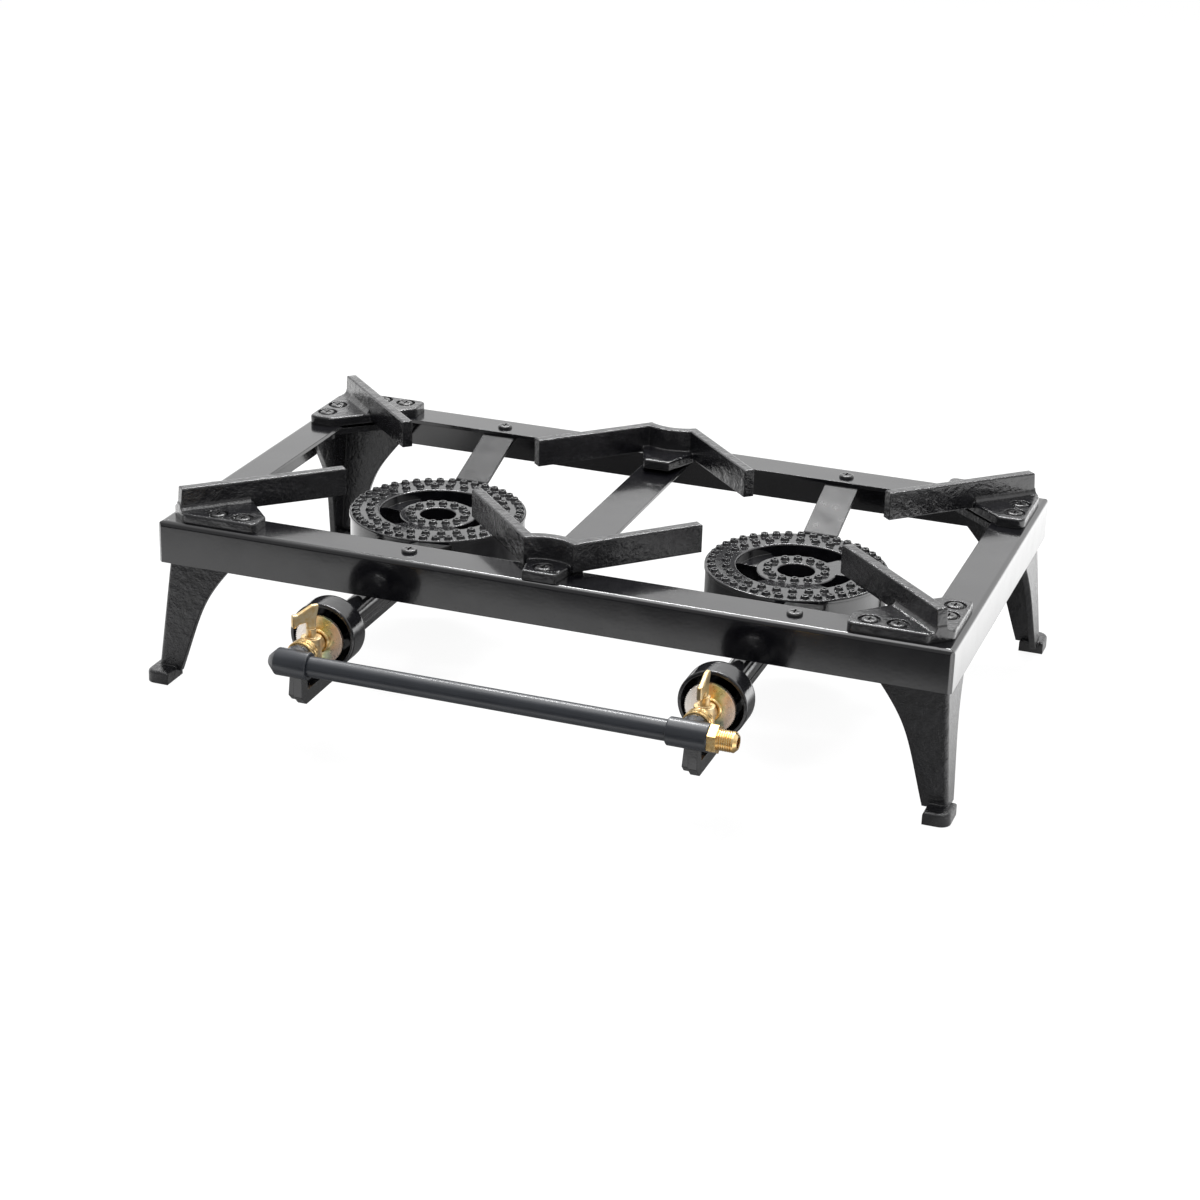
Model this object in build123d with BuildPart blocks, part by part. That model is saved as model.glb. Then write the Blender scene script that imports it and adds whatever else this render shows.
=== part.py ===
from build123d import *
from math import cos, degrees, radians, sin, sqrt
import os

# Two-burner stock pot range. Millimetres, +Z up, floor at z = 0, controls towards -Y.
# The frame's middle stands at y = MID_Y, so that the whole range is centred on the origin.

# ---- driving sizes ---------------------------------------------------------------
FRAME_W = 700.0          # outside width of the angle frame
FRAME_D = 380.0          # outside depth of the angle frame
FRAME_TOP = 147.0        # height of the frame's top face
RAIL_DROP = 37.5         # height of the upright flange
SIDE_FLANGE = 35.0       # width of the top flange, left and right rails
LONG_FLANGE = 38.0       # width of the top flange, front and rear rails
RAIL_T = 3.5             # thickness of the angle
RAIL_R = 4.5             # outside bend radius of the angle
CORNER_BEVEL = 3.0       # bevel ground on the welded corner

STRAP_T = 3.0            # thickness of the flat bars
CENTRE_STRAP_W = 38.0
BURNER_STRAP_W = 31.0
STRAP_END_GAP = 4.0      # strap's end to the rail's upright flange
STRAP_SCREW_IN = 22.5    # strap screws from the frame's outer faces
STRAP_REAR_X = -2.0      # rear screw, to the right of the burner's centre
STRAP_FRONT_X = 45.0     # front screw, to the right of the burner's centre
STRAP_SKEW = 9.5         # front half turned in plan to pass the gas tube, degrees
STRAP_SHOULDER_Z = 120.0 # height where the strap turns down beside the burner
STRAP_RIM_GAP = 2.5      # strap's upright part to the burner's rim
STRAP_LAP = 16.0         # how far each half runs past the burner's centre
STRAP_BEND_R = 3.4
STRAP_TUBE_GAP = 1.5     # notch round the gas tube

LEG_SET_X = 7.5          # leg's outer face inside the side rails, at the top
LEG_SET_Y = 15.0         # and inside the front and rear rails
LEG_SPLAY = 13.0         # how far the foot stands out from the top of the leg
LEG_CURVE = ((138, 80.0), (106, 57.0), (76, 38.6), (42, 28.7), (8, 21.5))
                         # height and width of a leg's flange, from the plate down to its end
LEG_T = 5.5              # thickness of the leg casting
LEG_EDGE_R = 3.5         # round on the leg's outer corner
LEG_PLATE_T = 6.0        # triangular plate under the frame's corner
LEG_PLATE_L = 88.0       # how far it reaches along the rails
LEG_PLATE_END = 18.0     # width of the plate's ends
LEG_BOSS_R = 7.0         # bosses that take the support screws
LEG_BOSS_H = 14.0
TOE_H = 11.0             # height of the foot
TOE_W = 22.0             # foot's size along X
TOE_D = 28.0             # foot's size along Y
TOE_OUT_X = 4.2          # foot beyond the leg's outer faces
TOE_OUT_Y = 16.0
TOE_R = 9.0              # round on the foot's corners
TOE_TOP_R = 3.0

PAN_TOP = 175.0          # height of the pan supports' top edges
ARM_T = 9.5              # thickness of a pan support's arm
ARM_H = 25.0             # height of an arm at its free end
ARM_EDGE_R = 1.3
CORNER_ARM_OUT = 15.2    # arm's upper outer end, from both outer faces of the frame
CORNER_ARM_IN = 121.0    # arm's inner end, from both outer faces of the frame
PLATE_T = 8.5            # thickness of a support's base plate
PLATE_INSET = 5.0        # plate's edge inside the frame's outer faces
PLATE_CUT = 22.5         # cut across the plate's outer corner, from the outer faces
PLATE_L = 90.0           # how far the plate reaches along a rail
PLATE_END = 28.0         # inner corner of the plate's end, from the outer face
PLATE_NOSE_L = 69.0      # inner corner beside the arm, along a rail
PLATE_NOSE_W = 51.0      # that corner, from the outer face
PLATE_R = 6.0
PLATE_EDGE_R = 2.0
ARM_ROOT_R = 5.0         # fillet between an arm and its plate
SUPPORT_SCREW_IN = 17.0  # support screws from the frame's outer faces
SUPPORT_SCREWS = (50.0, 73.5)    # their places along a rail, from the corner

APEX_X = 21.0            # where the centre support's arms leave the wavy middle
APEX_IN = 32.0           # that corner, from the frame's outer face
CENTRE_ARM_X = 101.5     # free end of a centre support's arm
CENTRE_ARM_IN = 118.0    # that end, from the frame's outer face
WAVE = 6.0               # how far the wavy middle bulges inwards
OUTER_PAD_W = 40.0       # centre support's outer pad at the arms
OUTER_PAD_END = 29.0     # and at its outer edge
OUTER_PAD_INSET = 2.0    # outer edge inside the frame's outer face
INNER_PAD_W = 54.0       # centre support's inner pad at the arms
INNER_PAD_END = 24.0     # and at its free edge
INNER_PAD_IN = 76.0      # free edge, from the frame's outer face
CENTRE_SCREW_IN = 15.0   # centre support's screw, from the frame's outer face

SCREW_D = 6.0            # shank of every frame screw
SCREW_HEAD_D = 13.5
SCREW_HEAD_H = 2.8
SCREW_DOME_R = 1.8
CROSS_L = 7.5            # cross recess in the head
CROSS_W = 1.6
CROSS_DEEP = 1.8
SPOT_D = 18.5            # spot face round a support's screw
SPOT_DEEP = 2.2
HOLE_CLEAR = 0.4         # screw hole minus shank
NUT_AF = 10.0            # nut across flats
NUT_H = 5.0
SCREW_PAST_NUT = 2.0

BURNER_IN = 181.4        # burner's centre from the outer face of its side rail
HEAD_R = 80.0            # outer radius of the ring's top plate
HEAD_WALL_R = 79.0       # outer radius of the ring's wall
HEAD_TOP = 120.5         # height of the ring's flat top
HEAD_BASE = 80.0         # underside of the burner head
LIP_T = 3.5              # thickness of the ring's top plate
WALL_T = 3.0             # wall of the burner casting
RING_INNER_R = 52.5      # inner radius of the outer ring
HUB_R = 35.0             # outer radius of the centre ring
HUB_HOLE_R = 16.0        # hole in the centre ring
HUB_DROP = 4.0           # centre ring's top below the outer ring's top
WEB_RECESS = 4.5         # left web's top below the centre ring
WEB_LAP = 1.5            # how far a web runs into the rings
HEAD_EDGE_R = 1.2        # round on the burner's edges
FRONT_WEB = (280.0, 70.0)    # direction and width of each web, degrees
RIGHT_WEB = (30.0, 48.0)
LEFT_WEB = (152.0, 42.0)
NIB_D = 8.2              # raised port
NIB_H = 3.0
NIB_TAPER = 20.0         # draft of a raised port, degrees
PORT_D = 3.0             # hole in a raised port
OUTER_ROW = (74.3, 42)   # radius and number of the ports in each row
INNER_ROW = (61.5, 28)
HUB_ROW = (25.5, 14)

TUBE_SHIFT = 6.5         # gas tube to the right of the burner's centre
AXIS_Z = 97.5            # height of the tube, valve and manifold axes
TUBE_R = 11.0            # tube where it passes under the front rail
TUBE_BORE_R = 8.0
TUBE_END = 44.0          # tube's bore ends this far in front of the burner's centre
BELL_R = 29.0
BELL_MOUTH_R = 26.0
BELL_TAPER = 2.0         # how much the bell's inside narrows
BELL_OUT = 68.0          # bell's mouth in front of the frame
BELL_DEPTH = 20.0        # straight part of the bell
SHOULDER_L = 8.0         # shoulder behind the straight part
FLARE_R = 20.0           # tube where it meets the shoulder
FLARE_L = 36.0           # length of the tube's flare
RUNNER_TOP = 82.0        # flat bar under the gas tube
RUNNER_T = 6.0
RUNNER_WEB = 8.0         # thickness of the web between the bar and the tube
RUNNER_END_GAP = 8.0     # bar's end in front of the burner's rim

YOKE_LEFT = 8.6          # yoke's sides from the gas tube's axis
YOKE_RIGHT = 4.5
YOKE_BOTTOM = 57.0       # underside of the yoke's arm
YOKE_T = 9.0             # thickness of the yoke's arm and upright
YOKE_RIB_LEFT = 3.0      # rib's left side from the gas tube's axis
YOKE_RIB_H = 2.5
YOKE_CORNER_R = 6.0      # bevel on the yoke's lower front corner
YOKE_EDGE_R = 1.0
YOKE_BACK = 2.0          # yoke's rear end in front of the bell's shoulder
YOKE_EYE_R = 13.5
EYE_CLEAR = 0.4          # eye round the valve's neck

MANIFOLD_OUT = 126.0     # manifold's axis in front of the frame
PIPE_R = 8.6             # 3/8 in steel pipe
PIPE_BORE_R = 6.3
PIPE_LAP = 10.0          # how far the pipe enters a tee
TEE_R = 11.4
TEE_L = 34.0
TEE_CAP_L = 1.5          # extra length of the left tee's closed end
TEE_CAP_BEVEL = 3.0
TEE_EDGE = 1.0           # chamfer on a tee's open ends
TEE_BOSS_R = 11.0        # tee's flat boss against the yoke
TEE_GAP = 0.4            # tee to the yoke's upright
SOCKET_CLEAR = 0.3       # threaded ends in their sockets
SOCKET_FLOOR = 3.0       # tee's side socket ends this far behind the manifold's axis

NECK_R = 9.0             # valve's threaded neck, through the yoke's eye
RING_NUT_R = 11.0        # brass ring nut on the neck
RING_NUT_L = 7.0
RING_NUT_GAP = 0.3       # ring nut to the yoke's upright
RING_NUT_NOTCH = 2.0     # grip notches round the ring nut
RING_NUT_NOTCHES = 12
VALVE_R = 8.0            # valve body's barrel
VALVE_L = 19.0
HOUSE_R = 8.5            # upright housing of the plug
HOUSE_UP = 8.5           # its top above the axis
HOUSE_DOWN = 12.0        # its foot below the axis
PLUG_R = 5.0
PLUG_CLEAR = 0.05        # running fit of the plug in its housing
PLUG_FLOOR = 2.0         # metal under the plug
PLUG_LIFT = 0.3          # gap under the plug
GAS_BORE_R = 2.5
SPUD_R = 5.0             # threaded spud that carries the shutter
SPUD_TIP_R = 3.5
SPUD_SOCKET = 3.0        # how far the spud is screwed into the valve
SPUD_REACH = 12.0        # spud's tip inside the bell's mouth
SPUD_TIP_L = 4.0
JET_R = 0.8
SHUTTER_OUT = 3.0        # shutter in front of the bell's mouth
SHUTTER_R = 21.0
SHUTTER_T = 3.0
SHUTTER_TEETH = 72
KNURL_DEEP = 0.6
HUB_FLANGE_R = 10.5      # shutter hub's flange
HUB_FLANGE_T = 4.0
HUB_SLEEVE_R = 7.5       # hub's sleeve, which carries the disc
DISC_CLEAR = 0.05        # running fit of the disc on the sleeve
SPUD_CLEAR = 0.3         # hub's bore round the spud
HUB_VALVE_GAP = 1.0      # hub's flange to the valve body
HUB_BEVEL = 1.0

STEM_R = 4.2
STEM_TOP = 114.0         # where the stem enters the wing
WING = (                 # wing's outline: distance from the stem's axis, and height
    (4.2, 121.0),
    (6.5, 131.0),
    (6.5, 134.0),
    (0.3, 134.0),
    (-13.0, 127.6),
    (-17.0, 128.0),
    (-17.0, 116.4),
    (-13.6, 116.4),
    (-11.5, 118.6),
    (-4.2, 119.6),
)
WING_T = 4.0
WING_CORNER_R = 1.4
WING_EDGE_R = 1.2
HANDLE_TURN = {"left": -40.0, "right": 0.0}      # from in line with the flow, degrees

HEX_AF = 21.0            # gas inlet
HEX_L = 7.0
INLET_R = 8.33           # 3/8 in male pipe thread
INLET_L = 15.5
INLET_BORE_R = 4.5
INLET_NOSE = 2.5
THREAD_PITCH = 1.8
THREAD_DEEP = 0.9
GROOVE_W = 1.2           # width of a thread groove at the crests
THREADS = 6
SPIGOT_L = 7.0           # length of a threaded end inside a tee

# ---- worked-out places -----------------------------------------------------------
LEG_TOP = FRAME_TOP - RAIL_T
STRAP_TOP = FRAME_TOP - RAIL_T
PLATE_TOP = FRAME_TOP + PLATE_T
HUB_TOP = HEAD_TOP - HUB_DROP
WEBS = (
    (FRONT_WEB, HUB_TOP, HEAD_TOP),
    (RIGHT_WEB, HUB_TOP, HUB_TOP),
    (LEFT_WEB, HUB_TOP - WEB_RECESS, HUB_TOP - WEB_RECESS),
)
FRONT_REACH = FRAME_D / 2 + MANIFOLD_OUT + TEE_R
REAR_REACH = FRAME_D / 2 - LEG_SET_Y + LEG_SPLAY + TOE_OUT_Y
MID_Y = (FRONT_REACH - REAR_REACH) / 2
FRONT_Y = MID_Y - FRAME_D / 2
REAR_Y = MID_Y + FRAME_D / 2
HOLE_R = (SCREW_D + HOLE_CLEAR) / 2
BELL_Y = FRONT_Y - BELL_OUT
SHUTTER_Y = BELL_Y - SHUTTER_OUT
HUB_Y = SHUTTER_Y - SHUTTER_T - HUB_FLANGE_T
VALVE_Y = HUB_Y - HUB_VALVE_GAP
NECK_Y = VALVE_Y - VALVE_L
PLUG_Y = VALVE_Y - VALVE_L / 2
MANIFOLD_Y = FRONT_Y - MANIFOLD_OUT
NECK_START = MANIFOLD_Y + SOCKET_FLOOR + SOCKET_CLEAR
UPRIGHT_Y = MANIFOLD_Y + TEE_R + TEE_GAP
PORT_ROWS = ((OUTER_ROW, HEAD_TOP), (INNER_ROW, HEAD_TOP), (HUB_ROW, HUB_TOP))
SIDES = {"left": -1, "right": 1}
ENDS = {"front": -1, "rear": 1}

os.makedirs("parts", exist_ok=True)


def save(piece, name):
    """Label a finished piece and write it as its own STEP file."""
    piece.part.label = name
    export_step(piece.part, f"parts/{name}.step")


def burner_x(side):
    """X of a burner's centre."""
    return SIDES[side] * (FRAME_W / 2 - BURNER_IN)


def tube_x(side):
    """X of the gas tube, shutter and valve of a burner."""
    return burner_x(side) + TUBE_SHIFT


def from_corner(side, end, along_x, along_y):
    """A plan point measured inwards from one outer corner of the frame."""
    x = SIDES[side] * (FRAME_W / 2 - along_x)
    y = MID_Y + ENDS[end] * (FRAME_D / 2 - along_y)
    return x, y


def corner_screws(side, end):
    """The four screws of a corner pan support."""
    near_long = [from_corner(side, end, along, SUPPORT_SCREW_IN) for along in SUPPORT_SCREWS]
    near_side = [from_corner(side, end, SUPPORT_SCREW_IN, along) for along in SUPPORT_SCREWS]
    return near_long + near_side


def strap_screws(end):
    """The burner straps' screws in the front or rear rail."""
    shift = STRAP_FRONT_X if end == "front" else STRAP_REAR_X
    y = MID_Y + ENDS[end] * (FRAME_D / 2 - STRAP_SCREW_IN)
    return [(burner_x(side) + shift, y) for side in SIDES]


def centre_screw(end):
    """The screw of a centre pan support."""
    return 0, MID_Y + ENDS[end] * (FRAME_D / 2 - CENTRE_SCREW_IN)


def drill(points, radius, top, deep):
    """Cut round holes downwards from a height."""
    with BuildSketch(Plane.XY.offset(top)) as profile:
        with Locations(*points):
            Circle(radius)
    extrude(profile.sketch, amount=-deep, mode=Mode.SUBTRACT)


# ---- frame -----------------------------------------------------------------------
def angle_section(outer, inward, flange):
    """Rounded L-section: upright flange at `outer`, top flange reaching inwards."""
    low = FRAME_TOP - RAIL_DROP
    with BuildLine() as outline:
        Polyline(
            (outer, low),
            (outer, FRAME_TOP),
            (outer + inward * flange, FRAME_TOP),
            (outer + inward * flange, FRAME_TOP - RAIL_T),
            (outer + inward * RAIL_T, FRAME_TOP - RAIL_T),
            (outer + inward * RAIL_T, low),
            close=True,
        )
    make_face(outline.edges())
    fillet(vertices().sort_by_distance((outer, FRAME_TOP))[0], RAIL_R)
    inner = (outer + inward * RAIL_T, FRAME_TOP - RAIL_T)
    fillet(vertices().sort_by_distance(inner)[0], RAIL_R - RAIL_T)


def mitre(*points):
    """Keep only what lies inside a plan outline."""
    with BuildSketch(Plane.XY.offset(FRAME_TOP)) as profile:
        with BuildLine():
            Polyline(*points, close=True)
        make_face()
    extrude(profile.sketch, amount=-RAIL_DROP, mode=Mode.INTERSECT)


def long_rail(end):
    """Front or rear rail, mitred at both ends."""
    outer = MID_Y + ENDS[end] * FRAME_D / 2
    with BuildPart() as rail:
        with BuildSketch(Plane.YZ.offset(-FRAME_W / 2)):
            angle_section(outer, -ENDS[end], LONG_FLANGE)
        extrude(amount=FRAME_W)
        mitre(
            from_corner("left", end, CORNER_BEVEL, 0),
            from_corner("right", end, CORNER_BEVEL, 0),
            from_corner("right", end, CORNER_BEVEL / 2, CORNER_BEVEL / 2),
            from_corner("right", end, SIDE_FLANGE, SIDE_FLANGE),
            from_corner("right", end, SIDE_FLANGE, LONG_FLANGE),
            from_corner("left", end, SIDE_FLANGE, LONG_FLANGE),
            from_corner("left", end, SIDE_FLANGE, SIDE_FLANGE),
            from_corner("left", end, CORNER_BEVEL / 2, CORNER_BEVEL / 2),
        )
        holes = strap_screws(end) + [centre_screw(end)]
        for side in SIDES:
            holes += corner_screws(side, end)[:2]
        drill(holes, HOLE_R, FRAME_TOP, RAIL_T)
    save(rail, f"{end}_rail")


def side_rail(side):
    """Left or right rail, mitred at both ends."""
    outer = SIDES[side] * FRAME_W / 2
    with BuildPart() as rail:
        with BuildSketch(Plane.XZ.offset(-REAR_Y)):
            angle_section(outer, -SIDES[side], SIDE_FLANGE)
        extrude(amount=FRAME_D)
        mitre(
            from_corner(side, "front", 0, CORNER_BEVEL),
            from_corner(side, "rear", 0, CORNER_BEVEL),
            from_corner(side, "rear", CORNER_BEVEL / 2, CORNER_BEVEL / 2),
            from_corner(side, "rear", SIDE_FLANGE, SIDE_FLANGE),
            from_corner(side, "front", SIDE_FLANGE, SIDE_FLANGE),
            from_corner(side, "front", CORNER_BEVEL / 2, CORNER_BEVEL / 2),
        )
        holes = []
        for end in ENDS:
            holes += corner_screws(side, end)[2:]
        drill(holes, HOLE_R, FRAME_TOP, RAIL_T)
    save(rail, f"{side}_rail")


# ---- straps ----------------------------------------------------------------------
def centre_strap():
    """Flat bar under the rails between the burners."""
    length = FRAME_D - 2 * (RAIL_T + STRAP_END_GAP)
    with BuildPart() as strap:
        with BuildSketch(Plane((0, MID_Y, STRAP_TOP))):
            Rectangle(CENTRE_STRAP_W, length)
        extrude(amount=-STRAP_T)
        drill([centre_screw(end) for end in ENDS], HOLE_R, STRAP_TOP, STRAP_T)
    save(strap, "centre_strap")


def strap_half(plane, to_rim, to_middle):
    """Half a burner strap, from its screw at the plane's origin in under the burner."""
    start = RAIL_T + STRAP_END_GAP - STRAP_SCREW_IN
    flange_edge = LONG_FLANGE - STRAP_SCREW_IN
    upright = to_rim - STRAP_RIM_GAP
    with BuildSketch(plane) as profile:
        with BuildLine():
            top = FilletPolyline(
                (start, STRAP_TOP),
                (flange_edge, STRAP_TOP),
                (upright, STRAP_SHOULDER_Z),
                (upright, HEAD_BASE),
                (to_middle + STRAP_LAP, HEAD_BASE),
                radius=STRAP_BEND_R,
            )
            offset(top, amount=STRAP_T, side=Side.RIGHT)
        make_face()
    extrude(profile.sketch, amount=BURNER_STRAP_W / 2, both=True)


def burner_strap(side):
    """Bent bar that carries a burner, from the rear rail to the front rail."""
    turn = radians(STRAP_SKEW)
    front_x, front_y = strap_screws("front")[list(SIDES).index(side)]
    rear_x, rear_y = strap_screws("rear")[list(SIDES).index(side)]
    rear_run = rear_y - MID_Y
    # distance along the turned half from its screw to the point nearest the burner's centre
    front_run = STRAP_FRONT_X * sin(turn) + (MID_Y - front_y) * cos(turn)
    rear_plane = Plane((rear_x, rear_y, 0), x_dir=(0, -1, 0), z_dir=(-1, 0, 0))
    front_plane = Plane(
        (front_x, front_y, 0),
        x_dir=(-sin(turn), cos(turn), 0),
        z_dir=(cos(turn), sin(turn), 0),
    )
    with BuildPart() as strap:
        strap_half(rear_plane, rear_run - HEAD_R, rear_run)
        strap_half(front_plane, front_run - HEAD_R, front_run)
        with BuildSketch(Plane((tube_x(side), FRONT_Y, AXIS_Z), z_dir=(0, 1, 0))):
            Circle(TUBE_R + STRAP_TUBE_GAP)
        extrude(amount=FRAME_D / 2 - HUB_R, mode=Mode.SUBTRACT)
        drill([(front_x, front_y), (rear_x, rear_y)], HOLE_R, STRAP_TOP, STRAP_T)
    save(strap, f"{side}_burner_strap")


# ---- legs ------------------------------------------------------------------------
def leg_flange(corner, inwards, across):
    """One flange of a leg: an upright plate whose outer face follows the splay."""
    drop = (0, 0, -LEG_TOP)
    lean = Vector(*drop) - Vector(*across) * LEG_SPLAY
    down = lean.normalized()
    normal = Vector(*inwards).cross(down)
    stretch = lean.length / LEG_TOP
    with BuildSketch(Plane(corner, x_dir=inwards, z_dir=normal)) as profile:
        points = []
        for height, width in LEG_CURVE:
            fallen = LEG_TOP - height
            outer_x = -LEG_SPLAY * fallen / LEG_TOP
            points.append((outer_x + width, fallen * stretch))
        with BuildLine():
            inner = Spline(*points)
            Polyline(
                inner @ 0,
                (points[0][0], 0),
                (0, 0),
                (outer_x, fallen * stretch),
                inner @ 1,
            )
        make_face()
    thickness = LEG_T if normal.dot(Vector(*across)) > 0 else -LEG_T
    extrude(profile.sketch, amount=thickness)


def foot(corner_x, corner_y, out_x, out_y):
    """Solid foot of a leg, with its outermost corner well rounded."""
    foot_x = corner_x + out_x * (LEG_SPLAY + TOE_OUT_X - TOE_W / 2)
    foot_y = corner_y + out_y * (LEG_SPLAY + TOE_OUT_Y - TOE_D / 2)
    with BuildSketch() as profile:
        with Locations((foot_x, foot_y)):
            Rectangle(TOE_W, TOE_D)
        outermost = (foot_x + out_x * TOE_W, foot_y + out_y * TOE_D)
        fillet(vertices().sort_by_distance(outermost)[0], TOE_R)
    extrude(profile.sketch, amount=TOE_H)
    fillet(edges().group_by(Axis.Z)[-1], TOE_TOP_R)


def leg(side, end):
    """Cast corner leg: two flanges, a plate under the rails and a solid foot."""
    out_x = SIDES[side]
    out_y = ENDS[end]
    corner_x, corner_y = from_corner(side, end, LEG_SET_X, LEG_SET_Y)
    corner = (corner_x, corner_y, LEG_TOP)
    outer_edge = (corner_x + out_x * LEG_SPLAY / 2, corner_y + out_y * LEG_SPLAY / 2, LEG_TOP / 2)
    with BuildPart() as cast_leg:
        foot(corner_x, corner_y, out_x, out_y)
        leg_flange(corner, (-out_x, 0, 0), (0, -out_y, 0))
        leg_flange(corner, (0, -out_y, 0), (-out_x, 0, 0))
        fillet(edges().sort_by_distance(outer_edge)[0], LEG_EDGE_R)
        with BuildSketch(Plane.XY.offset(LEG_TOP)):
            with BuildLine():
                Polyline(
                    from_corner(side, end, LEG_SET_X, LEG_SET_Y),
                    from_corner(side, end, LEG_PLATE_L, LEG_SET_Y),
                    from_corner(side, end, LEG_PLATE_L, LEG_SET_Y + LEG_PLATE_END),
                    from_corner(side, end, LEG_SET_X + LEG_PLATE_END, LEG_PLATE_L),
                    from_corner(side, end, LEG_SET_X, LEG_PLATE_L),
                    close=True,
                )
            make_face()
        extrude(amount=-LEG_PLATE_T)
        with BuildSketch(Plane.XY.offset(LEG_TOP)):
            with Locations(*corner_screws(side, end)):
                Circle(LEG_BOSS_R)
        extrude(amount=-LEG_BOSS_H)
        drill(corner_screws(side, end), HOLE_R, LEG_TOP, LEG_BOSS_H)
    save(cast_leg, f"{end}_{side}_leg")


# ---- pan supports ----------------------------------------------------------------
def spot_face(points):
    """Flat ring cut round each screw of a support, and the screw's hole."""
    drill(points, SPOT_D / 2, PLATE_TOP, SPOT_DEEP)
    drill(points, HOLE_R, PLATE_TOP, PLATE_T)


def arm_root(corner, outward_end, inner_end, inwards):
    """Hollow fillets where a diagonal arm stands on its plate."""
    start = Vector(*corner) + Vector(*inwards).normalized() * outward_end
    centre_out = ARM_T / 2 + ARM_ROOT_R
    centre_up = PLATE_TOP + ARM_ROOT_R
    buried = PLATE_TOP - PLATE_T / 2
    across = Vector(0, 0, 1).cross(Vector(*inwards))
    with BuildSketch(Plane(start, x_dir=across, z_dir=inwards)) as profile:
        with BuildLine():
            Polyline(
                (centre_out, PLATE_TOP),
                (centre_out, buried),
                (-centre_out, buried),
                (-centre_out, PLATE_TOP),
            )
            CenterArc((-centre_out, centre_up), ARM_ROOT_R, 270, 90)
            Line((-ARM_T / 2, centre_up), (ARM_T / 2, centre_up))
            CenterArc((centre_out, centre_up), ARM_ROOT_R, 180, 90)
        make_face()
    extrude(profile.sketch, amount=inner_end - outward_end)


def corner_support(side, end):
    """Cast corner support: a plate on the frame's corner and one diagonal arm."""
    in_x = -SIDES[side]
    in_y = -ENDS[end]
    corner_x, corner_y = from_corner(side, end, 0, 0)
    arm_plane = Plane(
        (corner_x, corner_y, 0),
        x_dir=(in_x, in_y, 0),
        z_dir=Vector(in_x, in_y, 0).cross(Vector(0, 0, 1)),
    )
    diagonal = sqrt(2)
    cut = (PLATE_INSET + PLATE_CUT) / diagonal
    with BuildPart() as support:
        with BuildSketch(Plane.XY.offset(FRAME_TOP)):
            with BuildLine():
                Polyline(
                    from_corner(side, end, PLATE_INSET, PLATE_CUT),
                    from_corner(side, end, PLATE_CUT, PLATE_INSET),
                    from_corner(side, end, PLATE_L, PLATE_INSET),
                    from_corner(side, end, PLATE_L, PLATE_END),
                    from_corner(side, end, PLATE_NOSE_L, PLATE_NOSE_W),
                    from_corner(side, end, PLATE_NOSE_W, PLATE_NOSE_L),
                    from_corner(side, end, PLATE_END, PLATE_L),
                    from_corner(side, end, PLATE_INSET, PLATE_L),
                    close=True,
                )
            make_face()
            fillet(vertices(), PLATE_R)
        extrude(amount=PLATE_T)
        fillet(faces().sort_by(Axis.Z)[-1].edges(), PLATE_EDGE_R)
        with BuildSketch(arm_plane):
            with BuildLine():
                Polyline(
                    (cut, PAN_TOP - ARM_H),
                    (CORNER_ARM_OUT * diagonal, PAN_TOP),
                    (CORNER_ARM_IN * diagonal, PAN_TOP),
                    (CORNER_ARM_IN * diagonal, PAN_TOP - ARM_H),
                    close=True,
                )
            make_face()
        extrude(amount=ARM_T / 2, both=True)
        fillet(edges().group_by(Axis.Z)[-1], ARM_EDGE_R)
        nose = (PLATE_NOSE_L + PLATE_NOSE_W) / 2
        arm_root(
            (corner_x, corner_y, 0),
            cut,
            nose * diagonal - PLATE_EDGE_R,
            (in_x, in_y, 0),
        )
        spot_face(corner_screws(side, end))
    save(support, f"{end}_{side}_pan_support")


def from_middle(end, x, inward):
    """A plan point measured inwards from the middle of the front or rear face."""
    return x, MID_Y + ENDS[end] * (FRAME_D / 2 - inward)


def centre_support(end):
    """Cast centre support: two arms joined by a wavy wall over a pad."""
    with BuildPart() as support:
        with BuildSketch(Plane.XY.offset(FRAME_TOP)):
            with BuildLine():
                Polyline(
                    from_middle(end, -OUTER_PAD_END / 2, OUTER_PAD_INSET),
                    from_middle(end, OUTER_PAD_END / 2, OUTER_PAD_INSET),
                    from_middle(end, OUTER_PAD_W / 2, APEX_IN),
                    from_middle(end, INNER_PAD_W / 2, APEX_IN + ARM_T / 2),
                    from_middle(end, INNER_PAD_END / 2, INNER_PAD_IN),
                    from_middle(end, -INNER_PAD_END / 2, INNER_PAD_IN),
                    from_middle(end, -INNER_PAD_W / 2, APEX_IN + ARM_T / 2),
                    from_middle(end, -OUTER_PAD_W / 2, APEX_IN),
                    close=True,
                )
            make_face()
            fillet(vertices(), PLATE_EDGE_R)
        extrude(amount=PLATE_T)
        fillet(faces().sort_by(Axis.Z)[-1].edges(), PLATE_EDGE_R)
        with BuildSketch(Plane.XY.offset(PAN_TOP)):
            with BuildLine():
                Line(
                    from_middle(end, -CENTRE_ARM_X, CENTRE_ARM_IN),
                    from_middle(end, -APEX_X, APEX_IN),
                )
                ThreePointArc(
                    from_middle(end, -APEX_X, APEX_IN),
                    from_middle(end, 0, APEX_IN + WAVE),
                    from_middle(end, APEX_X, APEX_IN),
                )
                Line(
                    from_middle(end, APEX_X, APEX_IN),
                    from_middle(end, CENTRE_ARM_X, CENTRE_ARM_IN),
                )
            trace(line_width=ARM_T)
        extrude(amount=-ARM_H)
        fillet(faces().sort_by(Axis.Z)[-1].edges(), ARM_EDGE_R)
        spot_face([centre_screw(end)])
    save(support, f"{end}_centre_pan_support")


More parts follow.
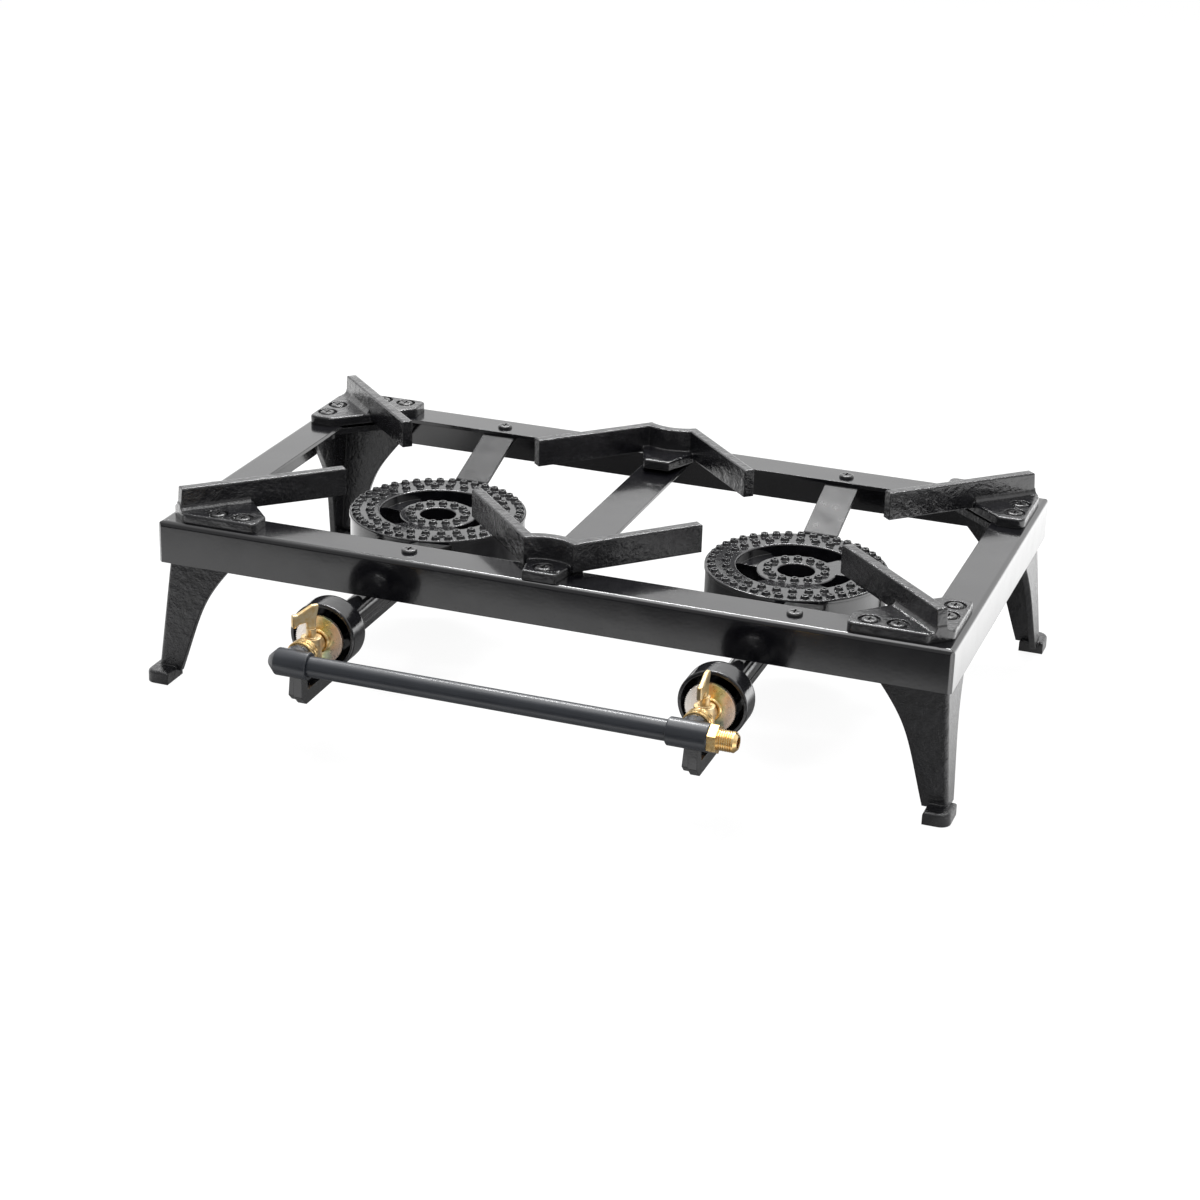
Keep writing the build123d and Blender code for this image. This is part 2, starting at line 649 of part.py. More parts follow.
# ---- burners ---------------------------------------------------------------------
def ring(centre, inner, outer, low, high, corners=0.0, mode=Mode.ADD):
    """Ring of rectangular section round a burner's upright axis, top corners rounded."""
    with BuildSketch(Plane(centre, x_dir=(1, 0, 0), z_dir=(0, -1, 0))) as profile:
        with Locations(((inner + outer) / 2, (low + high) / 2)):
            Rectangle(outer - inner, high - low)
        if corners:
            fillet(vertices().group_by(Axis.Y)[-1], corners)
    revolve(profile.sketch, axis=Axis(centre, (0, 0, 1)), mode=mode)


def web(centre, direction, inner_top, outer_top, shrink):
    """Web between the hub and the ring; a `shrink` gives the hollow inside it."""
    angle, width = direction
    trim = shrink / RING_INNER_R
    start = radians(angle - width / 2) + trim
    inner = HUB_R - WEB_LAP - shrink
    outer = RING_INNER_R + WEB_LAP + shrink
    along = Vector(cos(start), sin(start), 0)
    with BuildSketch(Plane(centre, x_dir=along, z_dir=along.cross(Vector(0, 0, 1)))) as profile:
        with BuildLine():
            Polyline(
                (inner, HEAD_BASE + shrink),
                (outer, HEAD_BASE + shrink),
                (outer, outer_top - shrink),
                (inner, inner_top - shrink),
                close=True,
            )
        make_face()
    revolve(
        profile.sketch,
        axis=Axis(centre, (0, 0, 1)),
        revolution_arc=width - 2 * degrees(trim),
        mode=Mode.SUBTRACT if shrink else Mode.ADD,
    )


def raised_ports(centre, row, top):
    """One ring of raised ports standing on the burner's top."""
    row_radius, count = row
    with BuildSketch(Plane((centre[0], centre[1], top))) as profile:
        with PolarLocations(row_radius, count):
            Circle(NIB_D / 2)
    extrude(profile.sketch, amount=NIB_H, taper=NIB_TAPER)


def port_holes(centre, row, top):
    """The holes through one ring of raised ports."""
    row_radius, count = row
    with BuildSketch(Plane((centre[0], centre[1], top + NIB_H))) as profile:
        with PolarLocations(row_radius, count):
            Circle(PORT_D / 2)
    extrude(profile.sketch, amount=-(NIB_H + LIP_T + WALL_T / 2), mode=Mode.SUBTRACT)


def tube_plane(side):
    """Upright plane through a gas tube: local x is the range's Y, local y is the radius."""
    return Plane((tube_x(side), 0, AXIS_Z), x_dir=(0, 1, 0), z_dir=(1, 0, 0))


def tube_axis(side):
    return Axis((tube_x(side), 0, AXIS_Z), (0, 1, 0))


def rod(side, start, end, radius, mode=Mode.ADD):
    """Round bar, or bore, along the gas axis."""
    with BuildSketch(Plane((tube_x(side), start, AXIS_Z), z_dir=(0, 1, 0))) as profile:
        Circle(radius)
    extrude(profile.sketch, amount=end - start, mode=mode)


def flared_tube(side, radii, end, mode):
    """Bell, shoulder and tube as one revolved form, or the passage inside them."""
    mouth_r, step_r, flare_r, tube_r = radii
    step_y = BELL_Y + BELL_DEPTH
    flare_y = step_y + SHOULDER_L
    tube_y = flare_y + FLARE_L
    with BuildSketch(tube_plane(side)) as profile:
        with BuildLine():
            Line((BELL_Y, mouth_r), (step_y, step_r))
            Spline(
                (step_y, step_r),
                (flare_y, flare_r),
                (tube_y, tube_r),
                tangents=((1, 0), (1, 0)),
            )
            Polyline((tube_y, tube_r), (end, tube_r), (end, 0), (BELL_Y, 0), (BELL_Y, mouth_r))
        make_face()
        if mode is Mode.ADD:
            fillet(vertices().sort_by_distance((BELL_Y, mouth_r))[0], HEAD_EDGE_R)
    revolve(profile.sketch, axis=tube_axis(side), mode=mode)


def side_profile(side, left, *points):
    """Upright (y, z) outline, standing `left` of the gas tube's axis."""
    plane = Plane((tube_x(side) - left, 0, 0), x_dir=(0, 1, 0), z_dir=(1, 0, 0))
    with BuildSketch(plane) as profile:
        with BuildLine():
            FilletPolyline(*points, radius=YOKE_EDGE_R, close=True)
        make_face()
    return profile.sketch


def yoke(side):
    """Arm under the bell and the upright that hangs on the valve's neck."""
    back = BELL_Y + BELL_DEPTH - YOKE_BACK
    under_bell = AXIS_Z - (BELL_R + BELL_MOUTH_R) / 2
    arm_top = YOKE_BOTTOM + YOKE_T
    rear_face = UPRIGHT_Y + YOKE_T
    arm = side_profile(
        side,
        YOKE_LEFT,
        (UPRIGHT_Y, AXIS_Z),
        (UPRIGHT_Y, YOKE_BOTTOM + YOKE_CORNER_R),
        (UPRIGHT_Y + YOKE_CORNER_R, YOKE_BOTTOM),
        (back, YOKE_BOTTOM),
        (back, under_bell),
        (BELL_Y, under_bell),
        (BELL_Y, arm_top),
        (rear_face, arm_top),
        (rear_face, AXIS_Z),
    )
    extrude(arm, amount=YOKE_LEFT + YOKE_RIGHT)
    rib_top = AXIS_Z - TEE_R
    rib_front = UPRIGHT_Y - YOKE_RIB_H
    rib_bottom = YOKE_BOTTOM - YOKE_RIB_H
    rib = side_profile(
        side,
        YOKE_RIB_LEFT,
        (UPRIGHT_Y + YOKE_T / 2, rib_top),
        (UPRIGHT_Y, rib_top),
        (rib_front, rib_top - YOKE_RIB_H),
        (rib_front, YOKE_BOTTOM + YOKE_CORNER_R),
        (UPRIGHT_Y + YOKE_CORNER_R, rib_bottom),
        (back, rib_bottom),
        (back, arm_top - YOKE_RIB_H),
        (UPRIGHT_Y + YOKE_T / 2, arm_top - YOKE_RIB_H),
    )
    extrude(rib, amount=YOKE_RIB_LEFT + YOKE_RIGHT)
    rod(side, UPRIGHT_Y, rear_face, YOKE_EYE_R)


def runner(side):
    """Flat bar under the gas tube, hung from it by a web."""
    start = BELL_Y + BELL_DEPTH
    end = MID_Y - HEAD_R - RUNNER_END_GAP
    middle = (start + end) / 2
    length = end - start
    with BuildSketch(Plane.XY.offset(RUNNER_TOP)) as profile:
        with Locations((tube_x(side) + (YOKE_RIGHT - YOKE_LEFT) / 2, middle)):
            Rectangle(YOKE_LEFT + YOKE_RIGHT, length)
    extrude(profile.sketch, amount=-RUNNER_T)
    with BuildSketch(Plane.XY.offset(RUNNER_TOP)) as profile:
        with Locations((tube_x(side), middle)):
            Rectangle(RUNNER_WEB, length)
    extrude(profile.sketch, amount=AXIS_Z - RUNNER_TOP - TUBE_BORE_R)


def burner(side):
    """Cast burner head with its gas tube, bell and yoke in one piece."""
    centre = (burner_x(side), MID_Y, 0)
    floor = HEAD_BASE + WALL_T
    ring_core = (RING_INNER_R + WALL_T, HEAD_WALL_R - WALL_T, floor, HEAD_TOP - LIP_T)
    hub_core = (HUB_HOLE_R + WALL_T, HUB_R - WALL_T, floor, HUB_TOP - LIP_T)
    inside = (BELL_MOUTH_R, BELL_MOUTH_R - BELL_TAPER, FLARE_R - WALL_T - BELL_TAPER, TUBE_BORE_R)
    with BuildPart() as head:
        ring(centre, RING_INNER_R, HEAD_WALL_R, HEAD_BASE, HEAD_TOP - LIP_T)
        ring(centre, RING_INNER_R, HEAD_R, HEAD_TOP - LIP_T, HEAD_TOP, HEAD_EDGE_R)
        ring(centre, HUB_HOLE_R, HUB_R, HEAD_BASE, HUB_TOP, HEAD_EDGE_R)
        for web_form in WEBS:
            web(centre, *web_form, 0)
        flared_tube(side, (BELL_R, BELL_R, FLARE_R, TUBE_R), MID_Y - RING_INNER_R, Mode.ADD)
        runner(side)
        yoke(side)
        for row, top in PORT_ROWS:
            raised_ports(centre, row, top)
        ring(centre, *ring_core, mode=Mode.SUBTRACT)
        ring(centre, *hub_core, mode=Mode.SUBTRACT)
        for web_form in WEBS:
            web(centre, *web_form, WALL_T)
        flared_tube(side, inside, MID_Y - TUBE_END, Mode.SUBTRACT)
        rod(side, UPRIGHT_Y, UPRIGHT_Y + YOKE_T, NECK_R + EYE_CLEAR, mode=Mode.SUBTRACT)
        for row, top in PORT_ROWS:
            port_holes(centre, row, top)
    save(head, f"{side}_burner")


# ---- air shutters ----------------------------------------------------------------
def shutter_hub(side):
    """Brass hub that rides on the spud and carries the disc."""
    with BuildPart() as hub:
        rod(side, HUB_Y, HUB_Y + HUB_FLANGE_T, HUB_FLANGE_R)
        chamfer(edges().filter_by(GeomType.CIRCLE).sort_by(Axis.Y)[0], HUB_BEVEL)
        rod(side, HUB_Y + HUB_FLANGE_T, SHUTTER_Y, HUB_SLEEVE_R)
        rod(side, HUB_Y, SHUTTER_Y, SPUD_R + SPUD_CLEAR, mode=Mode.SUBTRACT)
    save(hub, f"{side}_shutter_hub")


def shutter_disc(side):
    """Knurled disc that opens and closes the bell's mouth."""
    start = SHUTTER_Y - SHUTTER_T
    with BuildPart() as disc:
        rod(side, start, SHUTTER_Y, SHUTTER_R)
        with BuildSketch(Plane((tube_x(side), start, AXIS_Z), z_dir=(0, 1, 0))):
            with PolarLocations(SHUTTER_R, SHUTTER_TEETH):
                Circle(KNURL_DEEP)
        extrude(amount=SHUTTER_T, mode=Mode.SUBTRACT)
        rod(side, start, SHUTTER_Y, HUB_SLEEVE_R + DISC_CLEAR, mode=Mode.SUBTRACT)
    save(disc, f"{side}_shutter_disc")


# ---- valves ----------------------------------------------------------------------
def valve_body(side):
    """Brass valve: threaded neck, barrel and the upright housing of the plug."""
    centre = (tube_x(side), PLUG_Y)
    bottom = AXIS_Z - HOUSE_DOWN
    top = AXIS_Z + HOUSE_UP
    with BuildPart() as body:
        rod(side, NECK_START, NECK_Y, NECK_R)
        rod(side, NECK_Y, VALVE_Y, VALVE_R)
        with BuildSketch(Plane.XY.offset(bottom)):
            with Locations(centre):
                Circle(HOUSE_R)
        extrude(amount=top - bottom)
        drill([centre], PLUG_R + PLUG_CLEAR, top, top - bottom - PLUG_FLOOR)
        rod(side, NECK_START, VALVE_Y, GAS_BORE_R, mode=Mode.SUBTRACT)
        rod(side, VALVE_Y - SPUD_SOCKET, VALVE_Y, SPUD_R + SPUD_CLEAR, mode=Mode.SUBTRACT)
    save(body, f"{side}_valve_body")


def ring_nut(side):
    """Notched nut that holds the yoke's eye against the tee."""
    start = UPRIGHT_Y + YOKE_T + RING_NUT_GAP
    with BuildPart() as nut:
        rod(side, start, start + RING_NUT_L, RING_NUT_R)
        with BuildSketch(Plane((tube_x(side), start, AXIS_Z), z_dir=(0, 1, 0))):
            with PolarLocations(RING_NUT_R, RING_NUT_NOTCHES):
                Circle(RING_NUT_NOTCH / 2)
        extrude(amount=RING_NUT_L, mode=Mode.SUBTRACT)
        rod(side, start, start + RING_NUT_L, NECK_R + SPUD_CLEAR, mode=Mode.SUBTRACT)
    save(nut, f"{side}_valve_ring_nut")


def spud(side):
    """Injector: threaded spud with a jet at its tip."""
    tip = BELL_Y + SPUD_REACH
    start = VALVE_Y - SPUD_SOCKET
    with BuildPart() as injector:
        rod(side, start, tip - SPUD_TIP_L, SPUD_R)
        rod(side, tip - SPUD_TIP_L, tip, SPUD_TIP_R)
        rod(side, start, tip - SPUD_TIP_L, GAS_BORE_R, mode=Mode.SUBTRACT)
        rod(side, start, tip, JET_R, mode=Mode.SUBTRACT)
    save(injector, f"{side}_injector")


def valve_handle(side, turn):
    """Wing handle with its stem and the drilled plug inside the valve."""
    base = AXIS_Z - HOUSE_DOWN + PLUG_FLOOR + PLUG_LIFT
    shoulder = AXIS_Z + HOUSE_UP
    angle = radians(90 + turn)
    along = Vector(cos(angle), sin(angle), 0)
    wing_plane = Plane(
        (tube_x(side), PLUG_Y, 0),
        x_dir=along,
        z_dir=along.cross(Vector(0, 0, 1)),
    )
    with BuildPart() as handle:
        with BuildSketch(wing_plane):
            with BuildLine():
                Polyline(*WING, (-STEM_R, STEM_TOP), (STEM_R, STEM_TOP), close=True)
            make_face()
            fillet(vertices(), WING_CORNER_R)
        extrude(amount=WING_T / 2, both=True)
        fillet(faces().sort_by(SortBy.AREA)[-2:].edges(), WING_EDGE_R)
        with BuildSketch(Plane((tube_x(side), PLUG_Y, base))):
            Circle(PLUG_R)
        extrude(amount=shoulder - base)
        with BuildSketch(Plane((tube_x(side), PLUG_Y, shoulder))):
            Circle(STEM_R)
        extrude(amount=STEM_TOP - shoulder)
        with BuildSketch(Plane((tube_x(side), PLUG_Y, AXIS_Z), z_dir=along)):
            Circle(GAS_BORE_R)
        extrude(amount=PLUG_R, both=True, mode=Mode.SUBTRACT)
    save(handle, f"{side}_valve_handle")


# ---- manifold --------------------------------------------------------------------
def along_x(start, end, radius, mode=Mode.ADD):
    """Round bar, or bore, along the manifold's axis."""
    with BuildSketch(Plane((start, MANIFOLD_Y, AXIS_Z), z_dir=(1, 0, 0))) as profile:
        Circle(radius)
    extrude(profile.sketch, amount=end - start, mode=mode)


def tee_span(side):
    """Left and right end of a tee."""
    left = tube_x(side) - TEE_L / 2
    right = tube_x(side) + TEE_L / 2
    if side == "left":
        left -= TEE_CAP_L
    return left, right


def tee(side):
    """Manifold tee with a side socket for the valve; the left one is closed."""
    left, right = tee_span(side)
    with BuildPart() as fitting:
        along_x(left, right, TEE_R)
        ends = edges().filter_by(GeomType.CIRCLE).sort_by(Axis.X)
        chamfer(ends[0], TEE_CAP_BEVEL if side == "left" else TEE_EDGE)
        chamfer(edges().filter_by(GeomType.CIRCLE).sort_by(Axis.X)[-1], TEE_EDGE)
        rod(side, MANIFOLD_Y, MANIFOLD_Y + TEE_R, TEE_BOSS_R)
        socket = PIPE_R + SOCKET_CLEAR
        along_x(right - SPIGOT_L, right, socket, mode=Mode.SUBTRACT)
        if side == "right":
            along_x(left, left + SPIGOT_L, socket, mode=Mode.SUBTRACT)
        bore_start = left if side == "right" else tube_x(side) - PIPE_BORE_R
        along_x(bore_start, right, PIPE_BORE_R, mode=Mode.SUBTRACT)
        neck = NECK_R + SOCKET_CLEAR
        rod(side, MANIFOLD_Y + SOCKET_FLOOR, MANIFOLD_Y + TEE_R, neck, mode=Mode.SUBTRACT)
    save(fitting, f"{side}_manifold_tee")


def manifold_pipe():
    """Straight pipe between the two tees."""
    start = tee_span("left")[1] - SPIGOT_L
    end = tee_span("right")[0] + SPIGOT_L
    with BuildPart() as pipe:
        along_x(start, end, PIPE_R)
        along_x(start, end, PIPE_BORE_R, mode=Mode.SUBTRACT)
    save(pipe, "manifold_pipe")


def gas_inlet():
    """Fitting in the right tee: hexagon and male thread with a coned nose."""
    start = tee_span("right")[1]
    hex_end = start + HEX_L
    tip = hex_end + INLET_L
    with BuildPart() as fitting:
        along_x(start - SPIGOT_L, start, PIPE_R)
        with BuildSketch(Plane((start, MANIFOLD_Y, AXIS_Z), z_dir=(1, 0, 0))):
            RegularPolygon(HEX_AF / 2, 6, major_radius=False)
        extrude(amount=HEX_L)
        along_x(hex_end, tip, INLET_R)
        chamfer(edges().filter_by(GeomType.CIRCLE).sort_by(Axis.X)[-1], INLET_NOSE)
        groove_plane = Plane((0, MANIFOLD_Y, AXIS_Z), x_dir=(1, 0, 0), z_dir=(0, -1, 0))
        for turn in range(THREADS):
            crest = hex_end + (turn + 1) * THREAD_PITCH
            with BuildSketch(groove_plane):
                with BuildLine():
                    Polyline(
                        (crest - GROOVE_W / 2, INLET_R),
                        (crest, INLET_R - THREAD_DEEP),
                        (crest + GROOVE_W / 2, INLET_R),
                        close=True,
                    )
                make_face()
            revolve(axis=Axis((0, MANIFOLD_Y, AXIS_Z), (1, 0, 0)), mode=Mode.SUBTRACT)
        along_x(start - SPIGOT_L, tip, INLET_BORE_R, mode=Mode.SUBTRACT)
    save(fitting, "gas_inlet_fitting")


# ---- screws and nuts -------------------------------------------------------------
def screws(points, seat, length, name):
    """A set of alike cross-recess screws, each with its head standing on `seat`."""
    with BuildPart() as group:
        with BuildSketch(Plane.XY.offset(seat)):
            with Locations(*points):
                Circle(SCREW_HEAD_D / 2)
        extrude(amount=SCREW_HEAD_H)
        fillet(edges().group_by(Axis.Z)[-1], SCREW_DOME_R)
        with BuildSketch(Plane.XY.offset(seat)):
            with Locations(*points):
                Circle(SCREW_D / 2)
        extrude(amount=-length)
        with BuildSketch(Plane.XY.offset(seat + SCREW_HEAD_H)):
            with Locations(*points):
                Rectangle(CROSS_L, CROSS_W)
                Rectangle(CROSS_W, CROSS_L)
        extrude(amount=-CROSS_DEEP, mode=Mode.SUBTRACT)
    save(group, name)


def nuts(points, name):
    """A set of alike hexagon nuts under the straps."""
    with BuildPart() as group:
        with BuildSketch(Plane.XY.offset(STRAP_TOP - STRAP_T)):
            with Locations(*points):
                RegularPolygon(NUT_AF / 2, 6, major_radius=False)
        extrude(amount=-NUT_H)
        drill(points, HOLE_R, STRAP_TOP - STRAP_T, NUT_H)
    save(group, name)


def fasteners():
    """All screws and nuts of the frame."""
    through = RAIL_T + STRAP_T + NUT_H + SCREW_PAST_NUT
    support_points = []
    for side in SIDES:
        for end in ENDS:
            support_points += corner_screws(side, end)
    strap_points = strap_screws("front") + strap_screws("rear")
    centre_points = [centre_screw(end) for end in ENDS]
    seat = PLATE_TOP - SPOT_DEEP
    screws(support_points, seat, seat - LEG_TOP + LEG_BOSS_H, "pan_support_screws")
    screws(centre_points, seat, seat - FRAME_TOP + through, "centre_support_screws")
    screws(strap_points, FRAME_TOP, through, "strap_screws")
    nuts(centre_points, "centre_support_nuts")
    nuts(strap_points, "strap_nuts")


for side in SIDES:
    side_rail(side)
    burner_strap(side)
    burner(side)
    shutter_hub(side)
    shutter_disc(side)
    valve_body(side)
    ring_nut(side)
    spud(side)
    tee(side)
    valve_handle(side, HANDLE_TURN[side])
for end in ENDS:
    long_rail(end)
    centre_support(end)
    for side in SIDES:
        leg(side, end)
        corner_support(side, end)
centre_strap()
manifold_pipe()
gas_inlet()
fasteners()
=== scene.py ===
import math

import bmesh
import bpy
from mathutils import Matrix, Vector


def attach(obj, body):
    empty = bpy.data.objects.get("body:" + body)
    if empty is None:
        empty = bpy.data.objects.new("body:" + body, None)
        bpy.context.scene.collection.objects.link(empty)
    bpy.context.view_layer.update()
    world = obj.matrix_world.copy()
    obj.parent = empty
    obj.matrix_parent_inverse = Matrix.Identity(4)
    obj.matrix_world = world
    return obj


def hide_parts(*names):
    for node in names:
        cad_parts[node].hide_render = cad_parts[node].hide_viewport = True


# Looks of a twin stock pot range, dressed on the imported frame.
# Metres, +Z up, controls towards -Y.

MM = 0.001
SIDES = ("left", "right")

# ---- camera, from the photograph's calibration -------------------------------------
CAMERA_PLACE = (0.7206, -2.0374, 0.9732)
CAMERA_AZIMUTH = math.radians(19.209)    # how far the camera stands round towards +X
CAMERA_DROP = math.radians(22.368)       # how far it looks down
CAMERA_ROLL = math.radians(1.792)
CAMERA_LENS = 80.48
CAMERA_SENSOR = 36.0
CAMERA_REACH = 60.0      # nothing farther off is drawn

# ---- valve train, in millimetres ---------------------------------------------------
VALVE_X = {"left": -162.1, "right": 175.1}
VALVE_Z = 97.5
PIPE_Y = -254.3          # manifold's axis
TINT_REACH = 22.0        # the shutter disc's tints run this far either side of its axis

EYE_SPAN = (-242.7, -233.3)      # yoke's eye along Y
EYE_R = 13.5
EYE_SLACK = 0.3          # how far a point of the eye may lie off that radius
SLIM_EYE_R = 10.5

# A profile's points are (distance along the axis, radius).
NUT_Y = -233.2           # face of the ring nut; its skirt reaches in front of it
NUT_SIDES = 216
NUT_NOTCHES = (36, 0.25, 3)      # number, depth, last point of the profile that they cut
NUT_PROFILE = (
    (0.0, 9.4), (0.0, 10.6), (-5.2, 10.6), (-5.2, 11.1), (-4.6, 11.9), (-2.8, 11.9),
    (-2.2, 11.0), (-1.4, 11.0), (-0.8, 11.9), (1.0, 11.9), (1.6, 11.0), (2.4, 11.0),
    (3.0, 11.6), (4.6, 11.6), (5.2, 10.6), (7.0, 10.3), (7.0, 9.4),
)
TEE_SIDES = 96
TEE_END = 18.5           # left tee's closed end, to the left of its valve
TEE_RUN = (
    (0.0, 0.2), (0.0, 4.4), (0.5, 5.1), (6.6, 10.9), (7.4, 11.4), (34.6, 11.4),
    (35.4, 10.7), (35.5, 8.7), (18.0, 8.7), (18.0, 0.2),
)
TEE_BOSS = (
    (0.0, 0.2), (0.0, 10.6), (11.0, 10.6), (11.4, 10.2), (11.4, 9.4), (6.0, 9.4), (6.0, 0.2),
)
SHARP_ANGLE = math.radians(35)   # a turned piece's edges above this stay sharp

# ---- paint and metal ---------------------------------------------------------------
COAT_IOR = 1.5
BEVEL_SAMPLES = 6
PAINT_SHADE = 0.75       # darkest part of a paint's colour
BRASS_WARMTH = (0.9, 0.74, 0.52)         # tint of the deeper toned brass
ZINC_CLOUDS = 0.4        # how far the zinc's tints wander
ZINC_TINTS = (
    (0.28, (1.0, 0.94, 0.88)),
    (0.5, (1.0, 0.88, 0.76)),
    (0.6, (0.94, 0.52, 0.24)),
    (0.7, (0.96, 0.72, 0.38)),
    (0.82, (0.58, 0.64, 0.38)),
    (0.93, (0.72, 0.74, 0.56)),
    (1.0, (1.0, 0.8, 0.66)),
)

# ---- levels and places of light ----------------------------------------------------
FLOOR_HALF = 14.0        # half the floor's side
FLOOR_COLOUR = (0.82, 0.82, 0.82, 1)
FLOOR_WHITE = 1.08       # floor as the camera sees it
FLOOR_GLOW = 0.86        # share of the floor that glows; the rest takes the shadow
FLOOR_NEAR = 1.4         # painted glow of the floor in reflections, close to the range
FLOOR_FRONT = 0.0        # and further in front
FLOOR_PAINTED_SHADOW = 0.12       # and beneath the range, where a painted shadow is laid
FLOOR_RIGHT = 1.4        # painted glow added to the right of the range
FRONT_SLANT = -0.1       # share of X added to Y before the front edge is read
FRONT_EDGE = (-0.45, -0.385)     # here and below, where a soft step begins and ends
# Soft edges of the painted shadow beneath the range, seen only in reflections.
SHADOW_FRONT = (-0.37, -0.27)
SHADOW_REAR = (0.26, 0.46)
SHADOW_SIDE = (0.3, 0.42)
RIGHT_EDGE = (0.36, 0.5)
WORLD_FRONT = 0.3        # surroundings mirrored, before the range
WORLD_REAR = 1.25        # and behind and above it
WORLD_FILL = 0.5         # surroundings as a lamp
WORLD_EDGE = (-0.5, 0.7)
WORLD_UP = 0.7           # share of the way up that counts as behind
LAMPS = (                # name, place, point looked at, size, watts
    ("top_softbox", (-0.2, -0.1, 1.9), (0, 0, 0.1), (1.5, 1.1), 16),
    ("key_lamp", (-0.2, 1.2, 2.0), (0, 0, 0.1), (1.6, 0.22), 60),
    ("front_lamp", (0.9, -1.0, 2.1), (0, -0.1, 0.1), (0.35, 0.35), 6),
)


# ---- node helpers ------------------------------------------------------------------
def new_material(name, **values):
    """A material with its Principled shader; each value is set on the socket of that name."""
    material = bpy.data.materials.new(name)
    material.use_nodes = True
    shader = material.node_tree.nodes["Principled BSDF"]
    for socket, value in values.items():
        shader.inputs[socket.replace("_", " ")].default_value = value
    return material, shader


def link(material, output, target):
    material.node_tree.links.new(output, target)


def place_of(material):
    """Coordinates fixed to the piece, in metres."""
    return material.node_tree.nodes.new("ShaderNodeTexCoord").outputs["Object"]


def noise(material, size, detail=3.0, rough=0.55):
    """Noise with features of about `size` metres."""
    texture = material.node_tree.nodes.new("ShaderNodeTexNoise")
    texture.inputs["Scale"].default_value = 1.0 / size
    texture.inputs["Detail"].default_value = detail
    texture.inputs["Roughness"].default_value = rough
    link(material, place_of(material), texture.inputs["Vector"])
    return texture.outputs["Fac"]


def ramp(material, value, *stops):
    """Colour ramp; each stop is (position, colour or grey level)."""
    node = material.node_tree.nodes.new("ShaderNodeValToRGB")
    elements = node.color_ramp.elements
    while len(elements) < len(stops):
        elements.new(0.5)
    for element, (position, colour) in zip(elements, stops):
        element.position = position
        grey = isinstance(colour, (int, float))
        element.color = (colour, colour, colour, 1) if grey else (*colour, 1)
    link(material, value, node.inputs["Fac"])
    return node.outputs["Color"]


def mottle(material, shader, size, dark, light, light_from):
    """Base colour that drifts from one tone to another over patches of `size` metres."""
    shade = ramp(material, noise(material, size), (0.3, dark), (light_from, light))
    link(material, shade, shader.inputs["Base Color"])


def wear(material, shader, size, roughness, detail=3.0):
    """Roughness that drifts between its two values over patches of `size` metres."""
    low, high = roughness
    patches = ramp(material, noise(material, size, detail), (0.3, low), (0.7, high))
    link(material, patches, shader.inputs["Roughness"])


def bump(material, shader, height, depth, before):
    """Bump of `depth` metres, laid over an earlier normal."""
    node = material.node_tree.nodes.new("ShaderNodeBump")
    node.inputs["Distance"].default_value = depth
    node.inputs["Strength"].default_value = 1.0
    link(material, height, node.inputs["Height"])
    link(material, before, node.inputs["Normal"])
    link(material, node.outputs["Normal"], shader.inputs["Normal"])
    return node.outputs["Normal"]


def rounded(material, radius):
    """Normal that rounds the piece's edges, as casting, rolling or tumbling leaves them."""
    node = material.node_tree.nodes.new("ShaderNodeBevel")
    node.samples = BEVEL_SAMPLES
    node.inputs["Radius"].default_value = radius
    return node.outputs["Normal"]


def speckle(material, size, low, high):
    """Small separate spots, 1 in the spot and 0 around it."""
    return ramp(material, noise(material, size, 2, 0.5), (low, 0.0), (high, 1.0))


# ---- materials ---------------------------------------------------------------------
def enamelled_casting(name, grain, depth, roughness, edge, coat=0.5):
    """Gloss black enamel that follows the skin of a sand casting."""
    material, shader = new_material(
        name, Coat_Weight=coat, Coat_Roughness=0.05, Coat_IOR=COAT_IOR
    )
    mottle(material, shader, 9 * MM, (0.003, 0.003, 0.004), (0.009, 0.009, 0.011), 0.75)
    wear(material, shader, 5 * MM, roughness)
    edges = rounded(material, edge)
    wide = bump(material, shader, noise(material, 7 * grain, 2), 2.2 * depth, edges)
    runs = bump(material, shader, noise(material, 2.6 * grain, 3, 0.5), 1.3 * depth, wide)
    skin = bump(material, shader, noise(material, grain, 4, 0.6), depth, runs)
    link(material, skin, shader.inputs["Coat Normal"])
    return material


def gloss_paint(name, colour, roughness, edge, coat=0.5, shine=0.5):
    """Sprayed paint on rolled steel: faint orange peel and a little dust."""
    material, shader = new_material(
        name, Coat_Weight=coat, Coat_Roughness=0.07, Coat_IOR=COAT_IOR, Specular_IOR_Level=shine
    )
    dark = tuple(PAINT_SHADE * part for part in colour)
    mottle(material, shader, 40 * MM, dark, colour, 0.7)
    wear(material, shader, 18 * MM, roughness, 4)
    edges = rounded(material, edge)
    peel = bump(material, shader, noise(material, 3 * MM, 1), 0.02 * MM, edges)
    wave = bump(material, shader, noise(material, 60 * MM, 1), 0.3 * MM, peel)
    dust = bump(material, shader, speckle(material, 1.6 * MM, 0.66, 0.74), 0.015 * MM, wave)
    link(material, dust, shader.inputs["Coat Normal"])
    return material


def brass(name, colour, grain, depth, roughness, edge):
    """Brass with the skin of a casting, or the finer one of a turned part."""
    material, shader = new_material(name, Metallic=1.0)
    warm = tuple(part * tint for part, tint in zip(colour, BRASS_WARMTH))
    mottle(material, shader, 5 * MM, warm, colour, 0.62)
    wear(material, shader, 3 * MM, roughness)
    edges = rounded(material, edge)
    wide = bump(material, shader, noise(material, 5 * grain, 2), 2 * depth, edges)
    bump(material, shader, noise(material, grain, 3), depth, wide)
    return material


